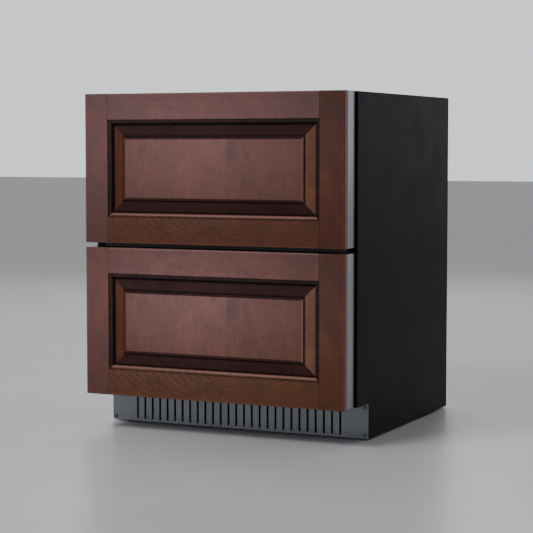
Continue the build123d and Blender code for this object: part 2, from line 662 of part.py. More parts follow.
def fan_motor(label, fan, shroud_y):
    """Motor on two arms in a square shroud plate, with its shaft through the fan's hub."""
    plate, arm_width, arm_height, motor_r = 2.0, 6.0, 10.0, 24.0
    nose = 9.0  # the shaft reaches this far in front of the hub's middle
    x, y, z = fan["x"], fan["y"], fan["z"]
    motor_y = (y + fan["motor"][0], y + fan["motor"][1])
    half = fan["r"] + SHROUD_EDGE
    opening = fan["r"] + SHROUD_OPENING
    arm_in, arm_out = opening + 1, opening + 1 + arm_width
    arm_z = (z - arm_height / 2, z + arm_height / 2)
    with BuildPart() as motor:
        block((x - half, x + half), (shroud_y, shroud_y + plate), (z - half, z + half))
        with BuildSketch(Plane.XZ.offset(-shroud_y)):
            with Locations((x, z)):
                Circle(opening)
        extrude(amount=2 * plate, both=True, mode=Mode.SUBTRACT)
        for side in HANDS.values():
            block((x + side * arm_in, x + side * arm_out), (shroud_y, motor_y[1]), arm_z)
        block((x - arm_out, x + arm_out), (motor_y[1] - arm_width / 2, motor_y[1]), arm_z)
        with Locations((x, (motor_y[0] + motor_y[1]) / 2, z)):
            Cylinder(motor_r, motor_y[1] - motor_y[0], rotation=(90, 0, 0))
        with Locations((x, (y - nose + motor_y[0] + 1) / 2, z)):
            Cylinder(SHAFT_R, motor_y[0] + 1 - y + nose, rotation=(90, 0, 0))
    save(motor, label)


def evaporator_cover():
    """Inner back wall with a ringed fan grille and a row of return slots."""
    rings, boss, rib = (52.0, 40.0, 28.0, 16.0), 10.0, 4.0
    slots_rise = 40.0  # return slots over the step
    slots, slot_pitch, slot_length, slot_width = 19, 26.0, 44.0, 8.0
    opening = EVAP_FAN["r"] + FAN_OPENING
    with BuildPart() as cover:
        block(wide(ROOM_X), (COVER_Y, COVER_Y + LINER), (STEP_Z + LINER, ROOM_TOP))
        with BuildSketch(Plane.XZ.offset(-COVER_Y)):
            with Locations((0, EVAP_FAN["z"])):
                Circle(opening)
                for radius in rings:
                    Circle(radius, mode=Mode.SUBTRACT)
                    Circle(radius - rib, mode=Mode.ADD)
                Circle(boss, mode=Mode.SUBTRACT)
                for angle in (0, 45, 90, 135):
                    Rectangle(2 * opening, rib, rotation=angle, mode=Mode.SUBTRACT)
            with Locations((0, STEP_Z + slots_rise)):
                with GridLocations(slot_pitch, 1, slots, 1):
                    SlotOverall(slot_length, slot_width, rotation=90)
        extrude(amount=-2 * LINER, mode=Mode.SUBTRACT)
    save(cover, "evaporator_cover")


def cooling_system():
    """Evaporator and fan behind the inner back wall, and the machine room under the step."""
    evaporator_cover()
    evaporator_y = (COIL_Y - COIL_HALF_DEPTH, COIL_Y + COIL_HALF_DEPTH)
    evaporator = (wide(EVAPORATOR_HALF), evaporator_y, EVAPORATOR_Z)
    finned_coil("evaporator_coil", *evaporator, EVAPORATOR_FINS, EVAPORATOR_TUBES)
    axial_blades("evaporator_fan_blades", EVAP_FAN)
    fan_motor("evaporator_fan_motor", EVAP_FAN, COVER_Y + LINER)

    shroud_gap = 2.0  # condenser to fan shroud
    condenser = (CONDENSER_X, CONDENSER_Y, CONDENSER_Z)
    finned_coil("condenser_coil", *condenser, CONDENSER_FINS, CONDENSER_TUBES)
    axial_blades("condenser_fan_blades", COND_FAN)
    fan_motor("condenser_fan_motor", COND_FAN, CONDENSER_Y[1] + shroud_gap)


COMPRESSOR = {"x": -190.0, "y": 246.0, "r": 70.0, "low": 34.0, "high": 186.0}


def compressor():
    """Hermetic compressor can on a foot plate, with rubber mounts and a terminal box."""
    crown, belly = 40.0, 18.0  # rounds of the can's top and bottom
    seam_out, seam_height = 3.0, 8.0
    plate_x, plate_y, plate = 90.0, 55.0, 5.0
    mount_x, mount_y, mount_r = 80.0, 45.0, 9.0
    box_x, box_half, box_z = (60.0, 92.0), 26.0, (80.0, 140.0)
    x, y, radius = COMPRESSOR["x"], COMPRESSOR["y"], COMPRESSOR["r"]
    low, high = COMPRESSOR["low"], COMPRESSOR["high"]
    pan_top = PAN_Z + SHEET
    with BuildPart() as can:
        with Locations((x, y, (low + high) / 2)):
            Cylinder(radius, high - low)
        fillet(can.edges().group_by(Axis.Z)[-1], crown)
        fillet(can.edges().group_by(Axis.Z)[0], belly)
        with Locations((x, y, (low + high) / 2)):
            Cylinder(radius + seam_out, seam_height)
        block((x - plate_x, x + plate_x), (y - plate_y, y + plate_y), (low - plate, low + 1))
        with Locations((x, y, (pan_top + low) / 2)):
            with GridLocations(2 * mount_x, 2 * mount_y, 2, 2):
                Cylinder(mount_r, low - pan_top)
        block((x + box_x[0], x + box_x[1]), (y - box_half, y + box_half), box_z)
    save(can, "compressor")


def refrigerant_lines():
    """Suction and liquid lines, from the machine room up the chase to the evaporator."""
    bend = 7.0
    stub_back = 20.0  # the can's suction stub behind its middle
    suction_rise, liquid_rise = 17.0, 6.0  # over the can
    liquid_back, lead_out = 2.0, 24.0
    can_x, can_y, can_top = COMPRESSOR["x"], COMPRESSOR["y"] + stub_back, COMPRESSOR["high"]
    coil_x, coil_y, coil_z = CONDENSER_X[0] - TUBE_END, sum(CONDENSER_Y) / 2, CONDENSER_TUBES[-1]
    inlet_x = -EVAPORATOR_HALF - TUBE_END
    low_suction, low_liquid = can_top + suction_rise, can_top + liquid_rise
    liquid_y = PIPE_RISE_Y + liquid_back
    turn_x = coil_x - lead_out
    suction = [
        (can_x, can_y, can_top),
        (can_x, can_y, low_suction),
        (SUCTION["x"], PIPE_RISE_Y, low_suction),
        (SUCTION["x"], PIPE_RISE_Y, SUCTION["z"]),
        (SUCTION["x"], COIL_Y, SUCTION["z"]),
        (inlet_x, COIL_Y, SUCTION["z"]),
    ]
    liquid = [
        (coil_x, coil_y, coil_z),
        (turn_x, coil_y, coil_z),
        (turn_x, liquid_y, low_liquid),
        (LIQUID["x"], liquid_y, low_liquid),
        (LIQUID["x"], liquid_y, LIQUID["z"]),
        (LIQUID["x"], COIL_Y, LIQUID["z"]),
        (inlet_x, COIL_Y, LIQUID["z"]),
    ]
    with BuildPart() as lines:
        for points in (suction, liquid):
            with BuildLine() as route:
                FilletPolyline(*points, radius=bend)
            with BuildSketch(Plane(origin=route.line @ 0, z_dir=route.line % 0)):
                Circle(PIPE_R)
            sweep(path=route.line)
    save(lines, "refrigerant_lines")


# ---- Controls and lights ------------------------------------------------------------------------
PANEL_CLEARANCE = 8.0  # behind the drawer front's inner skin
PANEL_DEPTH = 36.0
PANEL_HEIGHT = 26.0
PANEL_HALF = 115.0
PANEL_FRONT = PAN_BACK + PLUG_DEPTH + PANEL_CLEARANCE
PANEL_Y = (PANEL_FRONT, PANEL_FRONT + PANEL_DEPTH)
BUTTON_Z = ROOM_TOP - PANEL_HEIGHT / 2
BUTTON_R = 6.5
BUTTONS = {"button_warmer": 40.0, "button_colder": 62.0, "button_light": 84.0}


def control_panel():
    """Thermostat housing under the ceiling, with a display window and three buttons."""
    edge_round = 4.0
    window_x, window_half, window_deep = (-60.0, 20.0), 8.0, 1.5
    well, well_clear = 8.0, 0.3  # depth of a button's hole, and the gap around the button
    with BuildPart() as housing:
        block(wide(PANEL_HALF), PANEL_Y, (ROOM_TOP - PANEL_HEIGHT, ROOM_TOP))
        fillet(housing.edges().filter_by(Axis.X).group_by(Axis.Z)[0], edge_round)
        window_z = (BUTTON_Z - window_half, BUTTON_Z + window_half)
        block(window_x, (PANEL_FRONT, PANEL_FRONT + window_deep), window_z, Mode.SUBTRACT)
        with Locations(*[(x, PANEL_FRONT + well / 2, BUTTON_Z) for x in BUTTONS.values()]):
            Cylinder(BUTTON_R + well_clear, well, rotation=(90, 0, 0), mode=Mode.SUBTRACT)
    save(housing, "control_panel")

    stick_out, tip_round = 1.5, 1.0
    body_end = well - 2.5  # leaves the button room to travel
    for label, x in BUTTONS.items():
        with BuildPart() as button:
            with Locations((x, PANEL_FRONT + (body_end - stick_out) / 2, BUTTON_Z)):
                Cylinder(BUTTON_R, body_end + stick_out, rotation=(90, 0, 0))
            fillet(button.edges().group_by(Axis.Y)[0], tip_round)
        save(button, label)


def light_bars():
    """A diffused lamp bar in the ceiling of each compartment."""
    half, height, depth, edge_round = 140.0, 7.0, 20.0, 3.0
    upper_gap, lower_gap = 20.0, 30.0  # behind the control panel, and behind the cabinet front
    ceilings = {PANEL_Y[1] + upper_gap: ROOM_TOP, CAB_FRONT + lower_gap: SPLIT_Z - MULLION_HALF}
    with BuildPart() as bars:
        for start, ceiling in ceilings.items():
            block(wide(half), (start, start + depth), (ceiling - height, ceiling))
        levels = bars.edges().filter_by(Axis.X).group_by(Axis.Z)
        fillet(levels[0] + levels[2], edge_round)
    save(bars, "light_bars")


cabinet_wrap()
rear_panel()
bottom_deck()
foam_insulation()
inner_liner()
breaker_trim()
center_mullion()
kick_plate()
kick_plate_screws()
base_pan()
levelling_feet()
for drawer_name, drawer_sizes in DRAWERS.items():
    drawer(drawer_name, drawer_sizes)
cooling_system()
compressor()
refrigerant_lines()
control_panel()
light_bars()
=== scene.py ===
"""Looks of the under-counter drawer refrigerator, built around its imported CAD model.

Metres, in the CAD frame: +X to the right, +Y to the back, +Z up. The drawers open towards -Y.
"""

import json
import math

import bmesh
import bpy
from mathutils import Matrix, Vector


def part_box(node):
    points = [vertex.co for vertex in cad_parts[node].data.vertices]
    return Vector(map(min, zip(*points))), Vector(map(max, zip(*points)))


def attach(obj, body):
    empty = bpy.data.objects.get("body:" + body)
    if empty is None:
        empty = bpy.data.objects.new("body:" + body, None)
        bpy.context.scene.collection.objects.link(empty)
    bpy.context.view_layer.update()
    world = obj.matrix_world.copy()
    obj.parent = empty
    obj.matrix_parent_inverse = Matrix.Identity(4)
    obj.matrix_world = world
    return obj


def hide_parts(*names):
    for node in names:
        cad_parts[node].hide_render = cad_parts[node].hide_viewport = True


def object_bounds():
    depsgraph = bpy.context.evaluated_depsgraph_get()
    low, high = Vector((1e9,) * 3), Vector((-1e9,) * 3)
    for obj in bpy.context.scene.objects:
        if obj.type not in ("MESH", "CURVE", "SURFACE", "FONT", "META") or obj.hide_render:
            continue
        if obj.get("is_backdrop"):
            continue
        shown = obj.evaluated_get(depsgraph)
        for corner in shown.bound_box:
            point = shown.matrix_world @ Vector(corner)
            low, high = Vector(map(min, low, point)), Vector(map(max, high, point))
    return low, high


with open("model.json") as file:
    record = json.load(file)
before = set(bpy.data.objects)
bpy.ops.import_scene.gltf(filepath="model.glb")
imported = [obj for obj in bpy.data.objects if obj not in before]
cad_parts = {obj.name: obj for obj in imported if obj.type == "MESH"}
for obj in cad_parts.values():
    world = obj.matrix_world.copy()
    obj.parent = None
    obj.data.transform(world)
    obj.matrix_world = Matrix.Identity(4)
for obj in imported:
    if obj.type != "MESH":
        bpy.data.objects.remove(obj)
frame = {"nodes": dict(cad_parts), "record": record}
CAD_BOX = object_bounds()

MM = 0.001
NODES = frame["nodes"]

# ---- Sizes that the CAD model has --------------------------------------------------------------
DRAWERS = ("upper", "lower")
RAIL = 62 * MM  # flat width of the rails and stiles
BEAD = 10 * MM  # moulded edge inside it
WOOD = 18 * MM  # thickness of the wood
BEAD_STEP = 2 * MM
BEAD_FOOT = 9.5 * MM
GROOVE = (11 * MM, 15 * MM)
GROOVE_DEPTH = 8 * MM
FIELD_INSET = 102 * MM
FIELD_DEPTH = 4.5 * MM
SHOULDER_DEPTH = 7 * MM
BORDER_DEPTH = 11.2 * MM
PANEL_BACK = 16 * MM

# ---- Camera, at the photograph's viewing angle ---------------------------------------------------
CAMERA_PLACE = (1.7584, -3.7604, 0.6806)
CAMERA_YAW = 25.28  # degrees round to the object's right
CAMERA_DOWN = 4.12  # degrees below level
CAMERA_LENS = 112.3  # mm
SENSOR_WIDTH = 36  # mm
CLIP_END = 100

# ---- Studio --------------------------------------------------------------------------------------
WALL_RANGE = (0.09, 0.24, 1.10, 0.26)  # sines of elevation, and the brightness at each
WALL_COLOUR = (0.93, 0.955, 1.0, 1)
FLOOR_SIZE = 40
FLOOR_MIDDLE = (0, 8, 0)


# ---- Shader building -----------------------------------------------------------------------------
class Shader:
    """One material's node tree, built a node at a time in the frame's own coordinates."""

    def __init__(self, name, **sockets):
        self.material = bpy.data.materials.new(name)
        self.material.use_nodes = True
        self.tree = self.material.node_tree
        self.surface = self.tree.nodes["Principled BSDF"]
        self.place = self.tree.nodes.new("ShaderNodeTexCoord").outputs["Object"]
        for socket, value in sockets.items():
            self.set(socket.replace("_", " ").capitalize(), value)

    def set(self, socket, value):
        """Sets one of the surface's sockets to a constant, or links something to it."""
        names = {name.lower(): name for name in self.surface.inputs.keys()}
        target = self.surface.inputs[names[socket.lower()]]
        if isinstance(value, bpy.types.NodeSocket):
            self.tree.links.new(value, target)
        else:
            target.default_value = value

    def node(self, kind, inputs=None, output=0, **settings):
        """Adds a node, sets or links its inputs, and returns one of its outputs."""
        made = self.tree.nodes.new(kind)
        for setting, value in settings.items():
            setattr(made, setting, value)
        for key, value in (inputs or {}).items():
            if isinstance(value, bpy.types.NodeSocket):
                self.tree.links.new(value, made.inputs[key])
            else:
                made.inputs[key].default_value = value
        return made.outputs[output]

    def math(self, operation, first, second=0.0, clamp=False):
        return self.node("ShaderNodeMath", {0: first, 1: second}, operation=operation, use_clamp=clamp)

    def scaled(self, scale, shift=(0, 0, 0)):
        """The frame's coordinates, stretched and shifted for a pattern."""
        return self.node("ShaderNodeMapping", {"Vector": self.place, "Scale": scale, "Location": shift})

    def noise(self, scale, detail=2.0, roughness=0.5, distortion=0.0, shift=(0, 0, 0)):
        """Noise of a given number of cells per metre along X, Y and Z."""
        inputs = {
            "Vector": self.scaled(scale, shift),
            "Scale": 1.0,
            "Detail": detail,
            "Roughness": roughness,
            "Distortion": distortion,
        }
        return self.node("ShaderNodeTexNoise", inputs)

    def ramp(self, value, stops):
        """A colour ramp through (position, colour) stops."""
        made = self.tree.nodes.new("ShaderNodeValToRGB")
        elements = made.color_ramp.elements
        while len(elements) < len(stops):
            elements.new(0.5)
        for element, (position, colour) in zip(elements, stops):
            element.position = position
            element.color = (*colour, 1)
        self.tree.links.new(value, made.inputs[0])
        return made.outputs[0]

    def grey(self, value, low, high, dark=0.0, light=1.0):
        """A value's range low..high mapped to dark..light."""
        inputs = {0: value, 1: low, 2: high, 3: dark, 4: light}
        return self.node("ShaderNodeMapRange", inputs)

    def mix(self, factor, first, second, blend="MIX"):
        made = self.tree.nodes.new("ShaderNodeMix")
        made.data_type = "RGBA"
        made.blend_type = blend
        for index, value in ((0, factor), (6, first), (7, second)):
            if isinstance(value, bpy.types.NodeSocket):
                self.tree.links.new(value, made.inputs[index])
            elif index == 0:
                made.inputs[0].default_value = value
            else:
                made.inputs[index].default_value = (*value, 1)
        return made.outputs[2]

    def bump(self, height, distance, strength):
        inputs = {"Height": height, "Distance": distance, "Strength": strength}
        self.set("Normal", self.node("ShaderNodeBump", inputs))


# ---- Materials -----------------------------------------------------------------------------------
WOOD_SHADE = (0.099, 0.0215, 0.0100)  # warm brown away from the painted sheen, before the figure darkens it
WOOD_PAINTED_SHEEN = (0.228, 0.0785, 0.0670)  # painted sheen: paler and pinker where the lacquer's reflection of the studio is painted in
PALE_EDGE_AND_HIGHLIGHT = (0.400, 0.1650, 0.1600)  # paler wood on the eased edges, also the painted highlight on the bottom bead and the painted sheen on the side faces
# dark glazing, which also stands for painted shade in the quirks and on the panel's shoulder
GLAZE_AND_SHADE = (0.0022, 0.0012, 0.0012)
# painted reflection: the bluish grey painted where the beads' and the border's feet would reflect floor and
# studio
PAINTED_REFLECTION = (0.0130, 0.0145, 0.0190)
FIGURE_STOPS = [(0.15, (0.47, 0.49, 0.53)), (0.50, (0.66, 0.66, 0.66)), (0.90, (0.90, 0.91, 0.84))]
SMOKE = (0.76, 0.86, 1.00)  # what each of these leaves of the colour under it
PORE = (0.55, 0.50, 0.50)
KNOT_STAIN = (0.66, 0.78, 0.92)
# painted shade: the purple-grey that darkens the top of a piece
TOP_SHADE_TONE = (0.55, 0.68, 0.80)
ARC_RINGS = 150  # cathedral arcs per metre
ARC_STRETCH = 0.30
ARC_BEND = 0.050
FIRST_BOARD = 0.93  # its tone
BOARD_HOP = (0.37, 0.53)  # how far the figure shifts in X and Z at each joint
PAINTED_SHEEN_SPOT = {"x": -0.07, "z": 0.07, "wide": 0.31, "high": 0.145}  # place and size of the painted sheen, from the front's centre


def wood(name, grain, seed, middle, tint, gloss=0.34, tone=None, arcs=None, boards=(), knot=None, top_shade=0.0):
    """Stained close-grained wood under a semi-gloss lacquer, with dark glazing plus painted shade in its
    recesses, and a painted sheen, painted highlights and a painted bluish reflection in its colour.

    grain is the axis that the fibres follow and middle the height of the front's centre. tone is one
    base colour in place of the painted sheen's spread over the front. arcs gives cathedral figure: its
    strength, and where its arches centre along and across the grain. boards gives each glued joint's
    place in X and the next board's change of tone. knot is a dark place: x, z and radii. top_shade is
    painted shade that darkens the top of the piece.
    """
    level = 0.05 + 0.55 * gloss
    s = Shader(name, coat_weight=gloss, coat_roughness=0.26, coat_ior=1.5, specular_ior_level=level)
    s.place = s.node("ShaderNodeVectorMath", {0: s.place, 1: (0, 0, -middle)}, operation="ADD")
    shift = (seed * 3.7, seed * 1.3, seed * 5.1)
    x, z = (s.node("ShaderNodeSeparateXYZ", {0: s.place}, output=i) for i in (0, 2))
    lift = FIRST_BOARD
    board = 0.0
    for edge, change in boards:
        step = s.math("GREATER_THAN", x, edge)
        board = s.math("ADD", board, step)
        lift = s.math("ADD", lift, s.math("MULTIPLY", step, change))
    if boards:
        hop_x, hop_z = (s.math("MULTIPLY", board, hop) for hop in BOARD_HOP)
        jump = s.node("ShaderNodeCombineXYZ", {0: hop_x, 1: 0.0, 2: hop_z})
        s.place = s.node("ShaderNodeVectorMath", {0: s.place, 1: jump}, operation="ADD")

    def along(cells_across, cells_along):
        if grain == "X":
            return (cells_along, cells_across, cells_across)
        return (cells_across, cells_across, cells_along)

    def near(centre_x, centre_z, wide, high):
        """One at a place on the front, fading to zero around it."""
        across = s.math("DIVIDE", s.math("SUBTRACT", x, centre_x), wide)
        up = s.math("DIVIDE", s.math("SUBTRACT", z, centre_z), high)
        squares = s.math("ADD", s.math("MULTIPLY", across, across), s.math("MULTIPLY", up, up))
        return s.math("EXPONENT", s.math("MULTIPLY", squares, -1.0))

    cloud = s.noise(along(22, 13), detail=4, roughness=0.6, distortion=0.8, shift=shift)
    curl = s.noise(along(60, 80), detail=3, roughness=0.6, distortion=0.5, shift=shift)
    streak = s.noise(along(170, 9), detail=3, roughness=0.6, distortion=0.2, shift=shift)
    fibre = s.noise(along(800, 24), detail=2, roughness=0.6, shift=shift)
    pores = s.noise(along(1700, 120), detail=1, shift=shift)
    fleck = s.noise(along(340, 120), detail=2, shift=shift)

    # Each pattern, the range of its values that counts, and its share of the figure.
    shade = 0.0
    for pattern, low, high, weight in (
        (cloud, 0.30, 0.72, 0.36),
        (curl, 0.30, 0.72, 0.16),
        (streak, 0.28, 0.75, 0.16),
        (fibre, 0.25, 0.75, 0.12),
        (fleck, 0.28, 0.72, 0.20),
    ):
        shade = s.math("ADD", shade, s.math("MULTIPLY", s.grey(pattern, low, high), weight))
    if arcs:
        strength, centre_along, centre_across = arcs
        run, side = (x, z) if grain == "X" else (z, x)
        bend = s.math("MULTIPLY", s.math("SUBTRACT", cloud, 0.5), ARC_BEND)
        side = s.math("ADD", s.math("SUBTRACT", side, centre_across), bend)
        depth = s.math("MULTIPLY", s.math("SUBTRACT", run, centre_along), ARC_STRETCH)
        squares = s.math("ADD", s.math("MULTIPLY", side, side), s.math("MULTIPLY", depth, depth))
        wave = s.math("SINE", s.math("MULTIPLY", s.math("SQRT", squares), 2 * math.pi * ARC_RINGS))
        wave = s.math("POWER", s.grey(wave, -1.0, 1.0), 3.0)
        shade = s.math("ADD", shade, s.math("MULTIPLY", wave, strength))
    figure = s.ramp(shade, FIGURE_STOPS)
    if tone is None:
        # painted sheen: the colour turns paler and pinker round a spot on the front, in place of the
        # lacquer's reflection
        spread = near(*PAINTED_SHEEN_SPOT.values())
        tone = s.mix(spread, WOOD_SHADE, WOOD_PAINTED_SHEEN)
    colour = s.mix(1.0, tone, figure, "MULTIPLY")
    smoke = s.noise(along(26, 20), detail=3, shift=(shift[2], shift[0], shift[1]))
    colour = s.mix(s.grey(smoke, 0.50, 0.74, 0.0, 0.75), colour, SMOKE, "MULTIPLY")
    colour = s.mix(s.grey(pores, 0.60, 0.74, 0.0, 0.40), colour, PORE, "MULTIPLY")
    if knot:
        colour = s.mix(s.math("MULTIPLY", near(*knot), 0.8), colour, KNOT_STAIN, "MULTIPLY")
    # painted shade: the colour darkens towards the top of the piece
    if top_shade:
        colour = s.mix(s.grey(z, -0.02, 0.14, 0.0, top_shade), colour, TOP_SHADE_TONE, "MULTIPLY")
    if boards:
        lifted = s.node("ShaderNodeCombineXYZ", {0: lift, 1: lift, 2: lift})
        colour = s.mix(1.0, colour, lifted, "MULTIPLY")
    colour = s.mix(1.0, colour, tint, "MULTIPLY")
    shading = s.node("ShaderNodeAttribute", attribute_name="glaze_and_painted_light", output=2)
    rub = s.noise((120, 120, 120), detail=2, shift=shift)
    # dark glazing plus painted shade where the vertex values are positive: darker, rougher and without coat
    glaze_and_painted_light = s.math("MULTIPLY", shading, s.grey(rub, 0.2, 0.6, 0.75, 1.0), clamp=True)
    # paler wood, painted highlight and painted sheen where the vertex values are below zero
    pale_edge_and_highlight = s.grey(shading, 0.0, -1.0)
    colour = s.mix(pale_edge_and_highlight, colour, PALE_EDGE_AND_HIGHLIGHT)
    colour = s.mix(glaze_and_painted_light, colour, GLAZE_AND_SHADE)
    # painted reflection: vertex values from one to two turn the colour bluish
    s.set("Base Color", s.mix(s.grey(shading, 1.0, 2.0), colour, PAINTED_REFLECTION))
    s.set("Roughness", s.math("ADD", s.grey(fibre, 0.2, 0.8, 0.36, 0.46), s.math("MULTIPLY", glaze_and_painted_light, 0.30)))
    s.set("Coat Weight", s.math("MULTIPLY", s.math("SUBTRACT", 1.0, glaze_and_painted_light), gloss))
    grain_height = s.math("SUBTRACT", fibre, s.math("MULTIPLY", s.grey(pores, 0.60, 0.72), 0.6))
    s.bump(grain_height, 0.00006, 0.5)
    return s.material


def brushed(name, colour, along, rough=0.32, cells=(900, 6), depth=0.00002, spread=0.18):
    """Brushed sheet metal: fine lines along one axis, with a slow change of tone."""
    s = Shader(name, metallic=1.0)
    fine, slow = cells
    scale = [fine, fine, fine]
    scale["XYZ".index(along)] = slow
    lines = s.noise(tuple(scale), detail=4, roughness=0.7)
    cloud = s.noise((5, 5, 5), detail=2)
    light = tuple(min(1.0, c * (1 + spread)) for c in colour)
    dark = tuple(c * (1 - spread) for c in colour)
    tone = s.math("ADD", s.math("MULTIPLY", lines, 0.7), s.math("MULTIPLY", cloud, 0.3))
    s.set("Base Color", s.ramp(tone, [(0.3, dark), (0.7, light)]))
    s.set("Roughness", s.grey(lines, 0.25, 0.75, rough - 0.06, rough + 0.08))
    s.bump(lines, depth, 0.5)
    return s.material


def coated(name, colour, rough, grain=1400, depth=0.00003, metallic=0.0, coat=0.0, spread=0.12, ior=1.5):
    """Paint, powder coat or moulded plastic: an even colour with a fine skin texture."""
    s = Shader(name, metallic=metallic, coat_weight=coat, coat_roughness=0.12, ior=ior)
    skin = s.noise((grain, grain, grain), detail=2)
    cloud = s.noise((9, 9, 9), detail=3)
    light = tuple(min(1.0, c * (1 + spread)) for c in colour)
    dark = tuple(c * (1 - spread) for c in colour)
    s.set("Base Color", s.ramp(cloud, [(0.3, dark), (0.7, light)]))
    s.set("Roughness", s.grey(cloud, 0.3, 0.7, rough - 0.03, rough + 0.04))
    s.bump(skin, depth, 0.5)
    return s.material


def lamp(name):
    """Frosted diffuser that glows a little."""
    s = Shader(name, base_color=(0.9, 0.92, 0.95, 1), roughness=0.45, emission_strength=1.2)
    ribs = s.node("ShaderNodeTexWave", {"Vector": s.place, "Scale": 160.0}, output=1)
    s.set("Emission Color", s.ramp(ribs, [(0.0, (0.80, 0.86, 0.95)), (1.0, (0.95, 0.97, 1.0))]))
    s.bump(ribs, 0.0002, 0.6)
    return s.material


def copper(name):
    """Drawn copper with a little tarnish."""
    s = Shader(name, metallic=1.0)
    stain = s.noise((60, 60, 60), detail=4, roughness=0.6)
    s.set("Base Color", s.ramp(stain, [(0.3, (0.42, 0.17, 0.09)), (0.6, (0.80, 0.42, 0.26))]))
    s.set("Roughness", s.grey(stain, 0.3, 0.7, 0.45, 0.22))
    return s.material


def foam(name):
    """Cut rigid foam with small closed cells."""
    s = Shader(name, roughness=0.9)
    cells = s.node("ShaderNodeTexVoronoi", {"Vector": s.place, "Scale": 700.0})
    s.set("Base Color", s.ramp(cells, [(0.0, (0.55, 0.44, 0.22)), (0.6, (0.82, 0.72, 0.46))]))
    s.bump(cells, 0.0003, 0.7)
    return s.material


def rubber(name):
    """Soft black seal with a faint bloom."""
    s = Shader(name, sheen_weight=0.15, sheen_roughness=0.5)
    bloom = s.noise((70, 70, 70), detail=3)
    s.set("Base Color", s.ramp(bloom, [(0.3, (0.006, 0.006, 0.007)), (0.8, (0.018, 0.018, 0.019))]))
    s.set("Roughness", s.grey(bloom, 0.3, 0.7, 0.55, 0.72))
    s.bump(s.noise((1200, 1200, 1200)), 0.00003, 0.5)
    return s.material


# ---- Mesh building -------------------------------------------------------------------------------
WELD = 0.005 * MM
FLAT_ANGLE = math.radians(1)
SHEET_ANGLE = math.radians(50)  # sheet edges sharper than this are softened
WOOD_ANGLE = math.radians(60)


def written(work, mesh):
    """Turns the faces outwards and hands the work over to its mesh."""
    bmesh.ops.recalc_face_normals(work, faces=work.faces)
    work.to_mesh(mesh)
    work.free()


def add_piece(name, mesh, material, body, replaced=(), crease=35):
    """Makes an object of a mesh, rides it on its body and hides the CAD nodes it replaces."""
    piece = bpy.data.objects.new(name, mesh)
    bpy.context.scene.collection.objects.link(piece)
    for each in material if isinstance(material, (list, tuple)) else [material]:
        mesh.materials.append(each)
    shade(piece, crease)
    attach(piece, body)
    if replaced:
        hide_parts(*replaced)
    return piece


def shade(piece, crease):
    """Smooth shading with edges kept sharp past an angle."""
    piece.data.shade_smooth()
    work = bmesh.new()
    work.from_mesh(piece.data)
    for edge in work.edges:
        edge.smooth = len(edge.link_faces) == 2 and edge.calc_face_angle(0) < math.radians(crease)
    work.to_mesh(piece.data)
    work.free()


def bevelled(node, material, body, width=0.35 * MM):
    """A copy of a CAD node with softened edges, which stands for the node."""
    mesh = NODES[node].data.copy()
    mesh.materials.clear()
    work = bmesh.new()
    work.from_mesh(mesh)
    bmesh.ops.remove_doubles(work, verts=work.verts, dist=WELD)
    bmesh.ops.dissolve_limit(work, angle_limit=FLAT_ANGLE, verts=work.verts, edges=work.edges)
    work.to_mesh(mesh)
    work.free()
    piece = add_piece(f"{node}_sheet", mesh, material, body, [node])
    bevel = piece.modifiers.new("softened_edges", "BEVEL")
    bevel.width = width
    bevel.segments = 2
    bevel.limit_method = "ANGLE"
    bevel.angle_limit = SHEET_ANGLE
    bevel.harden_normals = True
    return piece


def arc(centre, radii, start, end, steps):
    """Points on an elliptical arc, angles in degrees."""
    points = []
    for i in range(steps + 1):
        angle = math.radians(start + (end - start) * i / steps)
        points.append((centre[0] + radii[0] * math.cos(angle), centre[1] + radii[1] * math.sin(angle)))
    return points


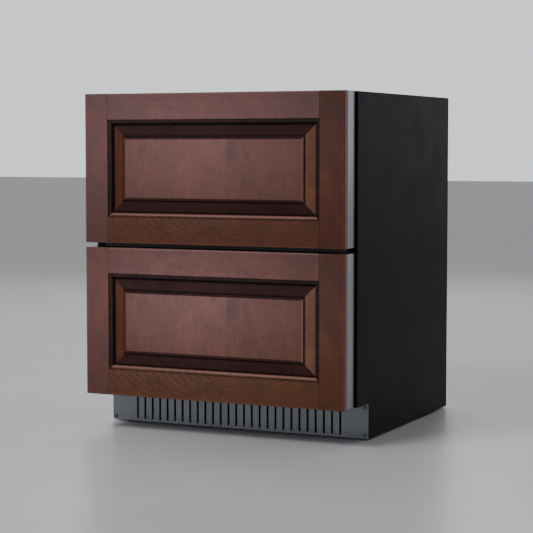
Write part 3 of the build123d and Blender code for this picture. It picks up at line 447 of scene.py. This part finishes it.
def frame_member(name, body, origin, across, along, length, opening, material, bead_highlight=0.0, cool=0.0):
    """A stile or rail of a wood front, with an eased outer edge, a quirk, a bead and a groove.

    origin is the middle of the outer front edge; across runs to the opening, along is the member's
    length, and the wood goes back along +Y. bead_highlight paints a pale highlight over the bead, and
    cool how far its foot turns to a painted bluish reflection. A point is (across, depth, value): a
    value below zero is paler wood, partly painted highlight and sheen, up to one it is dark glazing
    plus painted shade, and from one to two a painted bluish reflection.
    """
    ease = 1.6 * MM
    nick = 0.5 * MM
    tip = RAIL + BEAD
    # the side face's paler pink is paler wood partly painted sheen; the darkening into the quirk is glazing
    # plus painted shade
    flat = [(0, WOOD, -0.4), (0, 6 * MM, -0.6)]
    flat += [(u, v, -0.1) for u, v in arc((ease, ease), (ease, ease), 180, 270, 4)]
    flat += [(6 * MM, 0, 0.0), (RAIL - 3.5 * MM, 0, 0.0), (RAIL - 0.8 * MM, 0, 0.15)]
    flat += [(RAIL - nick, 0, 0.45)]
    flat += [(RAIL, nick, 0.85)]
    bead = [(RAIL, BEAD_STEP, 1.0 - 0.5 * bead_highlight)]
    curve = arc((RAIL, BEAD_FOOT), (BEAD, BEAD_FOOT - BEAD_STEP), -90, 0, 9)
    for i, (u, v) in enumerate(curve[1:]):
        bulge = math.sin(math.pi * (i + 1) / len(curve))
        foot_share = max(0.0, (i + 1) / len(curve) - 0.55) / 0.45
        bead.append((u, v, 0.95 - 0.12 * bulge - 1.2 * bead_highlight * bulge + 1.5 * cool * foot_share))
    for across_groove, depth in ((tip, GROOVE[0]), (tip - GROOVE_DEPTH, GROOVE[0])):
        bead.append((across_groove, depth, 1.0 + cool))
    bead += [(tip - GROOVE_DEPTH, GROOVE[1], 1.0), (tip, GROOVE[1], 1.0), (tip, WOOD, 0.5)]
    foot = [(RAIL, WOOD, 0.2)]
    origin, across, along = Vector(origin), Vector(across), Vector(along)
    into = Vector((0, 1, 0))
    mesh = bpy.data.meshes.new(name)
    work = bmesh.new()
    glaze_and_painted_light = work.verts.layers.float.new("glaze_and_painted_light")

    def corner(point, end, extent):
        u, v, dark = point
        vertex = work.verts.new(origin + across * u + into * v + along * (end * extent))
        vertex[glaze_and_painted_light] = dark
        return vertex

    half, room = length / 2, opening / 2
    chain = flat + bead + foot

    def reach(point):
        return room - max(0.0, point[0] - RAIL)

    first = [corner(p, -1, reach(p)) for p in chain]
    second = [corner(p, 1, reach(p)) for p in chain]
    count = len(chain)
    for i in range(count):
        j = (i + 1) % count
        work.faces.new((first[i], first[j], second[j], second[i]))
    root = [len(flat) - 1] + list(range(len(flat), count))
    for row in (first, second):
        work.faces.new([row[i] for i in root])
    ends = list(range(len(flat))) + [count - 1]
    for row, sign in ((first, -1), (second, 1)):
        if half - room < WELD:
            work.faces.new([row[i] for i in ends])
            continue
        tail = [corner(chain[i], sign, half) for i in ends]
        for a in range(len(ends)):
            b = (a + 1) % len(ends)
            work.faces.new((row[ends[a]], row[ends[b]], tail[b], tail[a]))
        work.faces.new(tail)
    written(work, mesh)
    piece = add_piece(f"{name}_wood", mesh, material, body, [name])
    bevel = piece.modifiers.new("eased_edges", "BEVEL")
    bevel.width = 0.2 * MM
    bevel.segments = 2
    bevel.limit_method = "ANGLE"
    bevel.angle_limit = WOOD_ANGLE
    return piece


def raised_panel(name, body, front, middle, half_x, half_z, materials):
    """The centre panel: a flat field, a coved shoulder and a border that slopes into the frame.

    materials are for the field, the border's top and bottom, its left and its right; the left and right
    differ by painted light and shade.
    """
    # Each ring is (inset, depth, value): up to one the value is dark glazing plus painted shade, also on
    # the shoulder where a highlight would fall, and from one to two a painted bluish reflection at the
    # border's foot.
    rings = [
        (RAIL + BEAD - 6 * MM, PANEL_BACK, 0.0),
        (RAIL + BEAD - 6 * MM, BORDER_DEPTH, 1.6),
        (RAIL + BEAD + 0.2 * MM, BORDER_DEPTH, 1.5),
        (RAIL + BEAD + 2.4 * MM, BORDER_DEPTH - 0.3 * MM, 0.65),
        (RAIL + BEAD + 6 * MM, BORDER_DEPTH - 0.8 * MM, 0.12),
        (FIELD_INSET - 6 * MM, SHOULDER_DEPTH + 0.75 * MM, 0.05),
        (FIELD_INSET - 2.0 * MM, SHOULDER_DEPTH + 0.2 * MM, 0.60),
        (FIELD_INSET - 0.9 * MM, SHOULDER_DEPTH, 1.0),
        (FIELD_INSET, SHOULDER_DEPTH - 0.5 * MM, 1.0),
        (FIELD_INSET, FIELD_DEPTH + 0.7 * MM, 1.0),
        (FIELD_INSET + 0.25 * MM, FIELD_DEPTH + 0.2 * MM, 0.8),
        (FIELD_INSET + 0.8 * MM, FIELD_DEPTH, 0.15),
        (FIELD_INSET + 6 * MM, FIELD_DEPTH, 0.0),
    ]
    mesh = bpy.data.meshes.new(name)
    work = bmesh.new()
    glaze_and_painted_light = work.verts.layers.float.new("glaze_and_painted_light")
    rows = []
    for inset, depth, dark in rings:
        row = []
        for sx, sz in ((-1, -1), (1, -1), (1, 1), (-1, 1)):
            place = (sx * (half_x - inset), front + depth, middle + sz * (half_z - inset))
            vertex = work.verts.new(place)
            vertex[glaze_and_painted_light] = dark
            row.append(vertex)
        rows.append(row)
    for outer, inner in zip(rows, rows[1:]):
        for i in range(4):
            j = (i + 1) % 4
            face = work.faces.new((outer[i], outer[j], inner[j], inner[i]))
            face.material_index = (1, 3, 1, 2)[i]
    work.faces.new(rows[-1])
    work.faces.new(rows[0][::-1])
    written(work, mesh)
    return add_piece(f"{name}_wood", mesh, materials, body, [name], crease=14)


def gasket(name, body, material):
    """Bellows seal: a base strip, two soft folds and a rounded magnet tube, mitred at the corners."""
    low, high = (Vector(c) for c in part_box(name))
    depth = high.y - low.y
    width = 11 * MM
    profile = [
        (0.0, 0.0), (0.0, 0.22), (0.16, 0.30), (0.22, 0.42), (0.14, 0.54), (0.02, 0.66), (0.0, 0.84),
        (0.06, 0.96), (0.16, 1.0), (0.84, 1.0), (0.94, 0.96), (1.0, 0.84), (0.98, 0.66), (0.86, 0.54),
        (0.78, 0.42), (0.84, 0.30), (1.0, 0.22), (1.0, 0.0),
    ]
    mesh = bpy.data.meshes.new(name)
    work = bmesh.new()
    rows = []
    for across, out in profile:
        inset = across * width
        y = low.y + out * depth
        row = []
        for sx, sz in ((-1, -1), (1, -1), (1, 1), (-1, 1)):
            x = sx * (high.x - inset)
            z = (low.z + inset) if sz < 0 else (high.z - inset)
            row.append(work.verts.new((x, y, z)))
        rows.append(row)
    for a, b in zip(rows, rows[1:] + rows[:1]):
        for i in range(4):
            j = (i + 1) % 4
            work.faces.new((a[i], a[j], b[j], b[i]))
    written(work, mesh)
    return add_piece(f"{name}_bellows", mesh, material, body, [name], crease=50)


# ---- The wood fronts and their seals -------------------------------------------------------------
LEVELS = {"bottom": -1, "top": 1}
HANDS = {"left": -1, "right": 1}

BOARDS = ((-0.197, 0.03), (-0.088, 0.09), (0.038, -0.12), (0.128, 0.02))
KNOT = (0.056, 0.042, 0.020, 0.026)
PANEL_SEED = 41
# painted light: the lower drawer is painted lighter and bluer, in place of the light and sheen that reach
# the upper
DRAWER_PAINTED_LIGHT = {"upper": (1.0, 1.0, 1.0), "lower": (1.22, 1.42, 1.50)}
# painted light and shade: each member's tint gives the one wood the colour its place on the front shows
# under the light; the low-gloss bottom rail and right stile are lightened and cooled in place of sheen
MEMBER_LOOKS = {
    "stile_left": {"grain": "Z", "seed": 1, "tint": (1.03, 0.93, 0.89)},
    # the right stile carries painted shade at its top
    "stile_right": {"grain": "Z", "seed": 3, "tint": (1.07, 1.29, 1.16), "gloss": 0.12, "top_shade": 0.5},
    "rail_top": {"grain": "X", "seed": 22, "tint": (1.02, 1.02, 1.02), "arcs": (0.05, -0.25, 0.142)},
    "rail_bottom": {
        "grain": "X", "seed": 20, "tint": (1.13, 1.57, 1.33), "gloss": 0.10, "arcs": (0.30, 0.13, -0.105),
    },
}
PANEL_LOOKS = {
    "field": {"tint": (1.21, 1.31, 1.25), "gloss": 0.28, "knot": KNOT, "boards": BOARDS},
    "ends": {"tint": (1.0, 1.0, 1.0), "tone": (0.052, 0.0165, 0.0133), "gloss": 0.04, "boards": BOARDS},
    # painted light and shade: one wood in two tones, the right side much lighter, for how each side faces
    # the light
    "left_side": {"tint": (1.0, 1.0, 1.0), "tone": (0.138, 0.0350, 0.0190), "gloss": 0.06},
    "right_side": {"tint": (1.0, 1.0, 1.0), "tone": (0.236, 0.0910, 0.0570), "gloss": 0.06},
}


def tinted(look, drawer):
    """A look with its drawer's share of the colour, which for the lower drawer is painted light."""
    tint = tuple(a * b for a, b in zip(look["tint"], DRAWER_PAINTED_LIGHT[drawer]))
    return {**look, "tint": tint}


seal = rubber("seal_rubber")
for drawer in DRAWERS:
    body = f"{drawer}_drawer"
    pan_low, pan_high = (Vector(c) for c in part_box(f"{drawer}_front_pan"))
    front = pan_low.y - WOOD
    middle = (pan_low.z + pan_high.z) / 2
    half_x, half_z = pan_high.x, (pan_high.z - pan_low.z) / 2
    for hand, sign in HANDS.items():
        node = f"{drawer}_stile_{hand}"
        material = wood(node, middle=middle, **tinted(MEMBER_LOOKS[f"stile_{hand}"], drawer))
        origin = (sign * half_x, front, middle)
        opening = 2 * (half_z - RAIL)
        # the stiles' bead feet get a weaker painted bluish reflection
        frame_member(node, body, origin, (-sign, 0, 0), (0, 0, 1), 2 * half_z, opening, material, cool=0.5)
    for level, sign in LEVELS.items():
        node = f"{drawer}_rail_{level}"
        material = wood(node, middle=middle, **tinted(MEMBER_LOOKS[f"rail_{level}"], drawer))
        origin = (0, front, middle + sign * half_z)
        opening = 2 * (half_x - RAIL)
        # the bottom rail's bead gets a painted highlight, and the top rail's a painted bluish reflection at
        # its foot
        finish = {"bead_highlight": 1.0} if level == "bottom" else {"cool": 1.0}
        frame_member(node, body, origin, (0, 0, -sign), (1, 0, 0), opening, opening, material, **finish)
    node = f"{drawer}_center_panel"
    looks = [
        wood(f"{node}_{part}", "Z", PANEL_SEED, middle, **tinted(look, drawer))
        for part, look in PANEL_LOOKS.items()
    ]
    raised_panel(node, body, front, middle, half_x, half_z, looks)
    gasket(f"{drawer}_gasket", body, seal)

# ---- Sheet metal with softened edges -------------------------------------------------------------
THIN_SHEET_BEVEL = 0.25 * MM
black = coated("black_powder_coat", (0.0030, 0.0032, 0.0036), 0.40, grain=700, depth=0.00006, ior=1.13)
pan_steel = brushed("pan_steel", (0.30, 0.31, 0.335), "Z", rough=0.30, cells=(700, 5))
grille_steel = brushed("grille_steel", (0.138, 0.143, 0.154), "X", rough=0.36, cells=(1100, 8))
bin_steel = brushed(
    "bin_steel", (0.60, 0.61, 0.62), "Y", rough=0.30, cells=(800, 3), depth=0.000006, spread=0.09
)
slide_steel = brushed("slide_steel", (0.58, 0.59, 0.60), "Y", rough=0.25, cells=(500, 10))
# painted shade: the pans' top and bottom faces are near black, darkening the gap between the drawers
gap_shade_coat = coated("pan_gap_shade", (0.004, 0.004, 0.0045), 0.55, ior=1.3)
for drawer in DRAWERS:
    pan = bevelled(f"{drawer}_front_pan", [pan_steel, gap_shade_coat], f"{drawer}_drawer")
    for face in pan.data.polygons:
        face.material_index = int(abs(face.normal.z) > 0.7)
bevelled("kick_plate", grille_steel, "cabinet", width=THIN_SHEET_BEVEL)
for drawer in DRAWERS:
    bevelled(f"{drawer}_bin", bin_steel, f"{drawer}_drawer", width=THIN_SHEET_BEVEL)
    for hand in HANDS:
        for kind, body in (("fixed", "cabinet"), ("runner", f"{drawer}_drawer")):
            node = f"{drawer}_slide_{kind}_{hand}"
            bevelled(node, slide_steel, body, width=THIN_SHEET_BEVEL)


# ---- The back: panel, louvre blades, screws and grommet ------------------------------------------
CAP_RADIUS = 0.5 * MM
BOX_FACES = ((0, 1, 2, 3), (7, 6, 5, 4), (0, 4, 5, 1), (1, 5, 6, 2), (2, 6, 7, 3), (3, 7, 4, 0))


def strips(name, boxes, material, body):
    """One piece made of thin bars, each given by its lowest and highest corners and a lean.

    The lean moves a bar's front edge up, along Z.
    """
    mesh = bpy.data.meshes.new(name)
    work = bmesh.new()
    for low, high, lean in boxes:
        corners = []
        for y, rise in ((low[1], lean), (high[1], 0.0)):
            for x, z in ((low[0], low[2]), (high[0], low[2]), (high[0], high[2]), (low[0], high[2])):
                corners.append(work.verts.new((x, y, z + rise)))
        for face in BOX_FACES:
            work.faces.new([corners[i] for i in face])
    written(work, mesh)
    return add_piece(name, mesh, material, body)


def turned(name, centres, profile, steps, material, body):
    """Copies of one turned form about axes along Y. profile is (radius, height towards the back).

    A first or last row wider than CAP_RADIUS is closed with a flat face.
    """
    mesh = bpy.data.meshes.new(name)
    work = bmesh.new()
    for x, y, z in centres:
        rows = []
        for radius, height in profile:
            row = []
            for i in range(steps):
                angle = 2 * math.pi * i / steps
                place = (x + radius * math.cos(angle), y + height, z + radius * math.sin(angle))
                row.append(work.verts.new(place))
            rows.append(row)
        for a, b in zip(rows, rows[1:]):
            for i in range(steps):
                j = (i + 1) % steps
                work.faces.new((a[i], a[j], b[j], b[i]))
        for row in (rows[0], rows[-1]):
            if row[0].co.x - x > CAP_RADIUS:
                work.faces.new(row)
    written(work, mesh)
    return add_piece(name, mesh, material, body)


REAR_SKIN = 0.6 * MM  # the panel's face lies this far inside its outermost fittings
LOUVRE = {
    "z": 115 * MM, "pitch": 17 * MM, "rows": 9, "length": 190 * MM, "column": 110 * MM, "height": 6 * MM,
}
BLADE = {"end_gap": 4 * MM, "thickness": 0.7 * MM, "depth": 7 * MM, "rise": 6 * MM}
LEAD_HOLE = {"x": 285 * MM, "z": 60 * MM, "r": 9 * MM}
GROMMET = {"overlap": 0.2 * MM, "sunk": 0.6 * MM, "radii": (1.5 * MM, 1.1 * MM), "steps": 12}
SCREW_INSET = 8 * MM

rear_coat = coated("rear_coat", (0.013, 0.0135, 0.0145), 0.38, grain=500, depth=0.00008, ior=1.35)
rear = bevelled("rear_panel", rear_coat, "cabinet", width=0.2 * MM)
rear_low, rear_high = (Vector(c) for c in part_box("rear_panel"))
for vertex in rear.data.vertices:
    if vertex.co.y > (rear_low.y + rear_high.y) / 2:
        vertex.co.y -= REAR_SKIN
rear_face = rear_high.y - REAR_SKIN

blades = []
for row in range(LOUVRE["rows"]):
    z = LOUVRE["z"] + (row - (LOUVRE["rows"] - 1) / 2) * LOUVRE["pitch"]
    for side in HANDS.values():
        x = side * LOUVRE["column"]
        reach = LOUVRE["length"] / 2 - BLADE["end_gap"]
        bottom = z - LOUVRE["height"] / 2
        low = (x - reach, rear_low.y - BLADE["depth"], bottom)
        high = (x + reach, rear_low.y, bottom + BLADE["thickness"])
        blades.append((low, high, BLADE["rise"]))
strips("rear_louvre_blades", blades, rear_coat, "cabinet")

rear_screws = []
for x in (-1.0, -0.5, 0.0, 0.5, 1.0):
    for z in (rear_low.z + SCREW_INSET, rear_high.z - SCREW_INSET):
        rear_screws.append((x * (rear_high.x - SCREW_INSET), rear_face, z))
for side in HANDS.values():
    for share in (0.25, 0.5, 0.75):
        z = rear_low.z + share * (rear_high.z - rear_low.z)
        rear_screws.append((side * (rear_high.x - SCREW_INSET), rear_face, z))
plated = coated("screw_plating", (0.42, 0.43, 0.45), 0.26, grain=600, metallic=1.0)
head = [(3.4 * MM, -0.2 * MM), (3.4 * MM, 0.1 * MM), (2.9 * MM, 0.42 * MM), (1.9 * MM, 0.56 * MM)]
head += [(1.5 * MM, 0.52 * MM), (1.2 * MM, -0.1 * MM)]
turned("rear_panel_screws", rear_screws, head, 24, plated, "cabinet")
ring_centre = (LEAD_HOLE["r"] - GROMMET["overlap"], -GROMMET["sunk"])
ring = arc(ring_centre, GROMMET["radii"], 0, 360, GROMMET["steps"])
grommet = [(LEAD_HOLE["x"], rear_face, LEAD_HOLE["z"])]
turned("lead_grommet", grommet, ring, 36, seal, "cabinet")


# ---- The control panel's display and the marks on its buttons ------------------------------------
def digit(value, x, z, width, height, y, bar):
    """The lit bars of a seven-segment digit, as boxes."""
    half = height / 2
    places = {
        "a": (0, height, 1), "g": (0, half, 1), "d": (0, 0, 1),
        "f": (0, half, 0), "b": (width, half, 0), "e": (0, 0, 0), "c": (width, 0, 0),
    }
    lit = {0: "abcdef", 4: "bcfg"}[value]
    boxes = []
    for name in lit:
        dx, dz, flat = places[name]
        low = (x + dx, y[0], z + dz)
        size = (width, bar) if flat else (bar, half)
        boxes.append((low, (low[0] + size[0], y[1], low[2] + size[1]), 0.0))
    return boxes


def glow(name, colour, strength):
    """A lit display segment with a faint unevenness."""
    s = Shader(name, base_color=(0.02, 0.03, 0.03, 1), roughness=0.4, emission_strength=strength)
    uneven = s.noise((900, 900, 900), detail=1)
    dim = tuple(c * 0.8 for c in colour)
    s.set("Emission Color", s.ramp(uneven, [(0.3, dim), (0.7, colour)]))
    return s.material


DIGIT = {"width": 4.4 * MM, "height": 8 * MM, "bar": 0.8 * MM}
DIGITS = ((0, -28 * MM), (4, -20 * MM))  # each digit and its place in X
panel_low, panel_high = (Vector(c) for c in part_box("control_panel"))
display_z = (panel_low.z + panel_high.z) / 2 - DIGIT["height"] / 2
display_y = (panel_low.y + 1.1 * MM, panel_low.y + 1.5 * MM)
segments = []
for value, x in DIGITS:
    segments += digit(value, x, display_z, y=display_y, **DIGIT)
strips("display_digits", segments, glow("display_glow", (0.45, 0.85, 1.0), 1.6), "cabinet")

MARKS = {  # half width and half height of each bar of a button's mark, in millimetres
    "button_warmer": [(2.6, 0.4), (0.4, 2.6)],
    "button_colder": [(2.6, 0.4)],
    "button_light": [(1.1, 1.1), (2.8, 0.25), (0.25, 2.8)],
}
MARK_ROOT = 0.3 * MM
MARK_RISE = (0.10, 0.03)  # of the first bar, and what each further bar adds, in millimetres
mark_white = coated("mark_print", (0.62, 0.64, 0.66), 0.45, grain=1500, spread=0.05)
for button, bars in MARKS.items():
    low, high = (Vector(c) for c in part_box(button))
    x, z, face = (low.x + high.x) / 2, (low.z + high.z) / 2, low.y
    boxes = []
    for i, (wide, tall) in enumerate(bars):
        rise = (MARK_RISE[0] + MARK_RISE[1] * i) * MM
        near_corner = (x - wide * MM, face - rise, z - tall * MM)
        boxes.append((near_corner, (x + wide * MM, face + MARK_ROOT, z + tall * MM), 0.0))
    strips(f"{button}_mark", boxes, mark_white, button)

# ---- Materials of the CAD nodes ------------------------------------------------------------------
dark_screw = coated("kick_screw_plating", (0.09, 0.092, 0.10), 0.30, grain=600, metallic=1.0)
white = coated("liner_plastic", (0.74, 0.75, 0.77), 0.30, grain=700, coat=0.2, spread=0.03)
fins = brushed("coil_aluminium", (0.72, 0.73, 0.75), "Z", rough=0.34, cells=(400, 20))
fan_black = coated("fan_plastic", (0.03, 0.03, 0.034), 0.45)
motor = coated("fan_motor_paint", (0.05, 0.05, 0.055), 0.35, coat=0.3)
enamel = coated("compressor_paint", (0.010, 0.010, 0.011), 0.22, grain=300, depth=0.0001, coat=0.6)
smoked = coated("control_plastic", (0.012, 0.012, 0.014), 0.16, grain=900, coat=0.6)
button_grey = coated("button_plastic", (0.16, 0.165, 0.18), 0.48, grain=1600)
trim_black = coated("trim_plastic", (0.018, 0.018, 0.020), 0.50, grain=1300)
foot_black = coated("foot_plastic", (0.015, 0.015, 0.016), 0.55, grain=900)
slot_looks = {
    "black_cabinet": black,
    "pan_steel": pan_steel,
    "grille_steel": grille_steel,
    "screw_zinc": dark_screw,
    "rigid_foam": foam("rigid_foam"),
    "liner_plastic": white,
    "trim_plastic": trim_black,
    "seal_rubber": seal,
    "bin_steel": bin_steel,
    "slide_steel": slide_steel,
    "coil_aluminium": fins,
    "fan_plastic": fan_black,
    "fan_motor_metal": motor,
    "compressor_paint": enamel,
    "copper_pipe": copper("copper_pipe"),
    "control_plastic": smoked,
    "button_plastic": button_grey,
    "lamp_diffuser": lamp("lamp_diffuser"),
    "foot_plastic": foot_black,
}
for subpart in frame["record"]["subparts"]:
    node, slot = NODES[subpart["node"]], subpart["material_slot"]
    look = slot_looks.get(slot)
    if look:
        node.data.materials.clear()
        node.data.materials.append(look)


# ---- Stage, lights and camera --------------------------------------------------------------------
def floor():
    """A plain pale floor that reaches far behind the object."""
    bpy.ops.mesh.primitive_plane_add(size=FLOOR_SIZE, location=FLOOR_MIDDLE)
    plane = bpy.context.object
    plane.name = "floor"
    s = Shader("floor_pale", roughness=0.32, specular_ior_level=0.5)
    mottle = s.noise((3, 3, 3), detail=2)
    s.set("Base Color", s.ramp(mottle, [(0.3, (0.58, 0.58, 0.585)), (0.7, (0.62, 0.62, 0.625))]))
    plane.data.materials.append(s.material)
    plane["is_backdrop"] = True


def softbox(name, place, target, size, power, colour=(1, 1, 1)):
    """A rectangular area light that faces a point."""
    data = bpy.data.lights.new(name, "AREA")
    data.shape = "RECTANGLE"
    data.size, data.size_y = size
    data.energy = power
    data.color = colour
    light = bpy.data.objects.new(name, data)
    light.location = place
    light.rotation_euler = (Vector(target) - Vector(place)).to_track_quat("-Z", "Y").to_euler()
    bpy.context.scene.collection.objects.link(light)


def surroundings():
    """A pale studio: bright walls around the horizon under a dimmer ceiling."""
    world = bpy.data.worlds.new("studio")
    world.use_nodes = True
    tree = world.node_tree
    background = tree.nodes["Background"]
    direction = tree.nodes.new("ShaderNodeTexCoord")
    parts = tree.nodes.new("ShaderNodeSeparateXYZ")
    strength = tree.nodes.new("ShaderNodeMapRange")
    tree.links.new(direction.outputs["Generated"], parts.inputs[0])
    tree.links.new(parts.outputs[2], strength.inputs[0])
    for index, value in enumerate(WALL_RANGE, start=1):
        strength.inputs[index].default_value = value
    tree.links.new(strength.outputs[0], background.inputs["Strength"])
    background.inputs["Color"].default_value = WALL_COLOUR
    bpy.context.scene.world = world


def camera():
    data = bpy.data.cameras.new("camera")
    data.lens = CAMERA_LENS
    data.sensor_width = SENSOR_WIDTH
    data.clip_end = CLIP_END
    viewer = bpy.data.objects.new("camera", data)
    viewer.location = CAMERA_PLACE
    viewer.rotation_euler = (math.radians(90 - CAMERA_DOWN), 0, math.radians(CAMERA_YAW))
    bpy.context.scene.collection.objects.link(viewer)
    bpy.context.scene.camera = viewer


floor()
surroundings()
cool = (0.93, 0.95, 1.0)
softbox("window", (-2.6, -4.3, 1.1), target=(0, -0.3, 0.5), size=(2.4, 1.5), power=17, colour=cool)
softbox("key", (-1.3, -2.7, 3.2), target=(0, -0.3, 0.4), size=(1.6, 1.2), power=90)
softbox("overhead", (0.3, 0.5, 3.2), target=(0, 0, 0.4), size=(2.2, 1.6), power=22)
softbox("back", (-1.4, 3.4, 2.4), target=(0, 0.3, 0.4), size=(2.4, 1.8), power=45)
camera()

boxes = {"cad": [list(c) for c in CAD_BOX], "visual": [list(c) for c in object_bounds()]}
